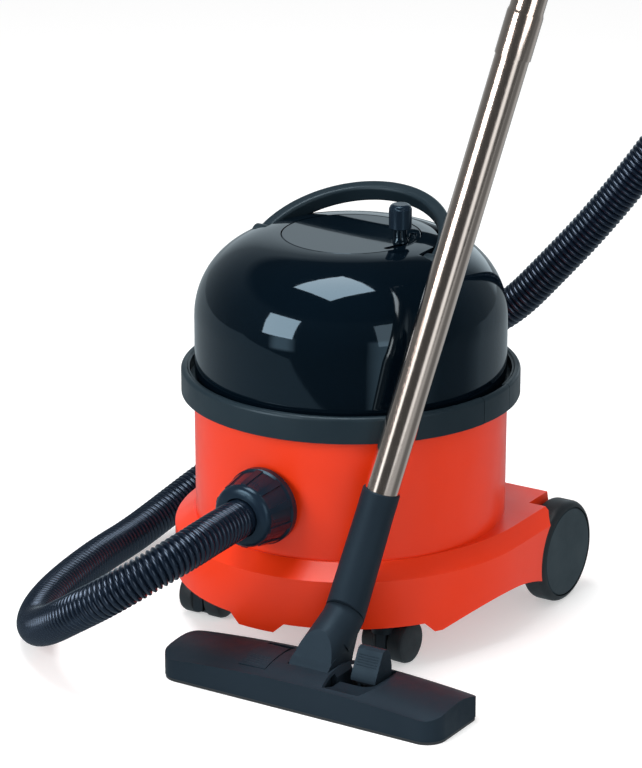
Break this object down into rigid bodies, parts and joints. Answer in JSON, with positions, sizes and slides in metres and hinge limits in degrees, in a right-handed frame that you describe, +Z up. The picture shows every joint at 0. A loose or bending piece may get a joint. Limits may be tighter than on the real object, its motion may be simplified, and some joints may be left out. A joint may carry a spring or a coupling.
{
  "type": "tub vacuum cleaner",
  "caption": "Tub vacuum cleaner on rear wheels and castors, with domed motor head, cable rewind crank, ribbed hose, steel wand and floor tool.",
  "frame": {"origin": "on the tub's axis at floor level", "axes": "+Z up, -Y towards the hose inlet, +X to the right of someone who faces +Y"},
  "size_m": [0.6759, 0.7823, 1.127],
  "materials": {
    "red_plastic": "smooth glossy red moulding",
    "dome_gloss_plastic": "polished near-black moulding",
    "slate_plastic": "satin slate-black moulding",
    "black_gloss_plastic": "glossy black moulding",
    "black_matte_plastic": "satin black moulding",
    "grey_black_plastic": "fine-grained grey-black moulding",
    "hose_plastic": "flexible ribbed black plastic, slight sheen",
    "wheel_rubber": "satin dark elastomer",
    "wheel_disc_plastic": "satin blue-grey moulding",
    "seal_rubber": "soft black rubber",
    "wand_steel": "polished stainless tube",
    "steel_rod": "drawn steel",
    "sole_steel": "pressed stainless sheet",
    "cast_metal": "cast aluminium",
    "filter_cloth": "pale felted filter cloth",
    "brush_bristle": "black nylon bristle"
  },
  "bodies": {
    "tub": {"tub_shell": "red_plastic", "inlet_neck": "black_gloss_plastic", "rear_axle": "steel_rod", "filter_frame": "black_matte_plastic", "filter_cloth": "filter_cloth", "clip_pins": "steel_rod", "tool_elbow": "grey_black_plastic", "lower_tube": "wand_steel", "upper_tube": "wand_steel", "bent_tube": "wand_steel", "hose_end_cuff": "black_gloss_plastic", "hose": "hose_plastic"},
    "hose_cuff": {"hose_cuff": "black_gloss_plastic"},
    "head": {"head_collar": "slate_plastic", "head_seal": "seal_rubber", "dome_cover": "dome_gloss_plastic", "motor_casing": "cast_metal", "motor_seal": "seal_rubber", "cable_gland": "seal_rubber", "handle_pins": "steel_rod"},
    "reel": {"rewind_disc": "dome_gloss_plastic", "cable_reel": "black_matte_plastic", "crank_pin": "steel_rod"},
    "crank_knob": {"crank_knob": "black_gloss_plastic"},
    "carry_handle": {"carry_handle": "slate_plastic"},
    "power_switch": {"power_switch": "black_gloss_plastic"},
    "motor_rotor": {"motor_rotor": "cast_metal"},
    "clip_left": {"clip_left": "slate_plastic"},
    "clip_right": {"clip_right": "slate_plastic"},
    "wheel_left": {"rear_wheel_left": "wheel_rubber", "hub_cap_left": "wheel_disc_plastic"},
    "wheel_right": {"rear_wheel_right": "wheel_rubber", "hub_cap_right": "wheel_disc_plastic"},
    "castor_left": {"castor_frame_left": "black_matte_plastic", "castor_axle_left": "steel_rod"},
    "castor_right": {"castor_frame_right": "black_matte_plastic", "castor_axle_right": "steel_rod"},
    "castor_wheels_left": {"castor_wheels_left": "wheel_rubber"},
    "castor_wheels_right": {"castor_wheels_right": "wheel_rubber"},
    "neck": {"swivel_neck": "grey_black_plastic", "neck_axle": "steel_rod"},
    "floor_tool": {"tool_housing": "grey_black_plastic", "sole_plate": "sole_steel"},
    "pedal_left": {"pedal_left": "grey_black_plastic"},
    "pedal_right": {"pedal_right": "grey_black_plastic"},
    "brushes": {"brush_strips": "brush_bristle"},
    "air_slider": {"air_slider": "black_matte_plastic"}
  },
  "joints": [
    {"name": "hose_cuff_turn", "type": "hinge", "parent": "tub", "child": "hose_cuff", "pos_m": [0, -0.17, 0.155], "axis": [0, -1, 0], "range_deg": [0, 30]},
    {"name": "head_lift", "type": "slide", "parent": "tub", "child": "head", "axis": [0, 0, 1], "range_m": [0, 0.17]},
    {"name": "clip_right_swing", "type": "hinge", "parent": "tub", "child": "clip_right", "pos_m": [0.1585, 0, 0.231], "axis": [0, 1, 0], "range_deg": [0, 100]},
    {"name": "clip_left_swing", "type": "hinge", "parent": "tub", "child": "clip_left", "pos_m": [-0.1585, 0, 0.231], "axis": [0, -1, 0], "range_deg": [0, 100]},
    {"name": "handle_raise", "type": "hinge", "parent": "head", "child": "carry_handle", "pos_m": [0, -0.006, 0.367], "axis": [1, 0, 0], "range_deg": [0, 74]},
    {"name": "reel_spin", "type": "hinge", "parent": "head", "child": "reel", "pos_m": [0, 0, 0.35], "axis": [0, 0, 1], "continuous": true},
    {"name": "crank_knob_spin", "type": "hinge", "parent": "reel", "child": "crank_knob", "pos_m": [0.053, 0.003, 0.408], "axis": [0, 0, 1], "continuous": true},
    {"name": "switch_rock", "type": "hinge", "parent": "head", "child": "power_switch", "pos_m": [0, 0.1437, 0.281], "axis": [1, 0, 0], "range_deg": [-7, 7]},
    {"name": "rotor_spin", "type": "hinge", "parent": "head", "child": "motor_rotor", "pos_m": [0, 0, 0.28], "axis": [0, 0, 1], "continuous": true},
    {"name": "wheel_left_spin", "type": "hinge", "parent": "tub", "child": "wheel_left", "pos_m": [-0.164, 0.124, 0.051], "axis": [1, 0, 0], "continuous": true},
    {"name": "wheel_right_spin", "type": "hinge", "parent": "tub", "child": "wheel_right", "pos_m": [0.164, 0.124, 0.051], "axis": [1, 0, 0], "continuous": true},
    {"name": "castor_left_swivel", "type": "hinge", "parent": "tub", "child": "castor_left", "pos_m": [-0.105, -0.111, 0.05], "axis": [0, 0, 1], "continuous": true},
    {"name": "castor_wheels_left_spin", "type": "hinge", "parent": "castor_left", "child": "castor_wheels_left", "pos_m": [-0.10528, -0.095, 0.021], "axis": [0.9998, 0.0175, 0], "continuous": true},
    {"name": "castor_right_swivel", "type": "hinge", "parent": "tub", "child": "castor_right", "pos_m": [0.105, -0.111, 0.05], "axis": [0, 0, 1], "continuous": true},
    {"name": "castor_wheels_right_spin", "type": "hinge", "parent": "castor_right", "child": "castor_wheels_right", "pos_m": [0.10556, -0.09501, 0.021], "axis": [0.9994, -0.0349, 0], "continuous": true},
    {"name": "neck_swivel", "type": "hinge", "parent": "tub", "child": "neck", "pos_m": [0.09745, -0.16798, 0.0695], "axis": [0, 0.7828, 0.6222], "range_deg": [-5, 30]},
    {"name": "tool_tilt", "type": "hinge", "parent": "neck", "child": "floor_tool", "pos_m": [0.0945, -0.209, 0.022], "axis": [1, 0, 0], "range_deg": [-15, 25]},
    {"name": "pedal_right_press", "type": "hinge", "parent": "floor_tool", "child": "pedal_right", "pos_m": [0.1485, -0.194, 0.019], "axis": [1, 0, 0], "range_deg": [0, 30]},
    {"name": "pedal_left_rise", "type": "hinge", "parent": "floor_tool", "child": "pedal_left", "pos_m": [0.043, -0.203, 0.019], "axis": [1, 0, 0], "range_deg": [-30, 0]},
    {"name": "brush_drop", "type": "slide", "parent": "floor_tool", "child": "brushes", "axis": [0, 0, 1], "range_m": [-0.005, 0]},
    {"name": "air_bleed", "type": "slide", "parent": "tub", "child": "air_slider", "axis": [0.3281, 0.8818, 0.3387], "range_m": [0, 0.013]}
  ],
  "couplings": [
    {"joint": "clip_right_swing", "follows": "head_lift", "rad_per_m": 10.2},
    {"joint": "clip_left_swing", "follows": "head_lift", "rad_per_m": 10.2},
    {"joint": "pedal_left_rise", "follows": "pedal_right_press", "ratio": -1},
    {"joint": "brush_drop", "follows": "pedal_right_press", "m_per_rad": -0.0095}
  ]
}
